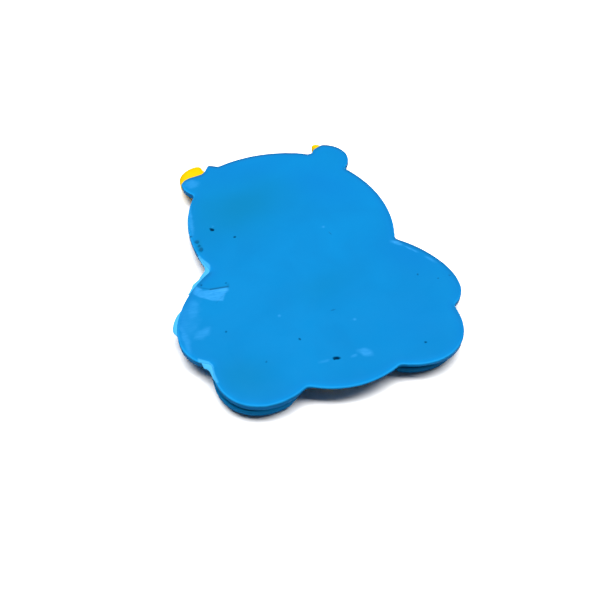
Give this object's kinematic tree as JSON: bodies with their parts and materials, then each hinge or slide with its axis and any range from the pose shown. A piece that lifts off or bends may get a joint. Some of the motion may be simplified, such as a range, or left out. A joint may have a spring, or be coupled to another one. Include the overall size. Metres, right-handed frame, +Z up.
{
  "type": "novelty eraser",
  "caption": "Flat soft-rubber eraser in the shape of a sitting bear, lying face down, with a flat blue back and yellow ears.",
  "frame": {"origin": "centre of the bounding box, on the table that the face rests on", "axes": "+Z up, out of the flat back; +Y towards the head; +X towards the right ear"},
  "size_m": [0.0481, 0.0607, 0.003],
  "materials": {
    "blue_rubber": "satin soft rubber, sky blue, slightly translucent at thin edges",
    "yellow_rubber": "satin soft rubber, bright yellow",
    "black_rubber": "satin soft rubber, black",
    "white_rubber": "satin soft rubber, white"
  },
  "bodies": {
    "root": {"back_sheet": "blue_rubber", "head": "blue_rubber", "left_ear": "yellow_rubber", "right_ear": "yellow_rubber", "left_arm": "blue_rubber", "right_arm": "blue_rubber", "left_leg": "blue_rubber", "right_leg": "blue_rubber", "tummy": "yellow_rubber", "muzzle": "yellow_rubber", "nose": "black_rubber", "mouth": "black_rubber", "left_eye": "black_rubber", "right_eye": "black_rubber", "left_eye_glint": "white_rubber", "right_eye_glint": "white_rubber", "left_foot_pad": "yellow_rubber", "right_foot_pad": "yellow_rubber", "left_toe_pads": "yellow_rubber", "right_toe_pads": "yellow_rubber"}
  },
  "joints": []
}
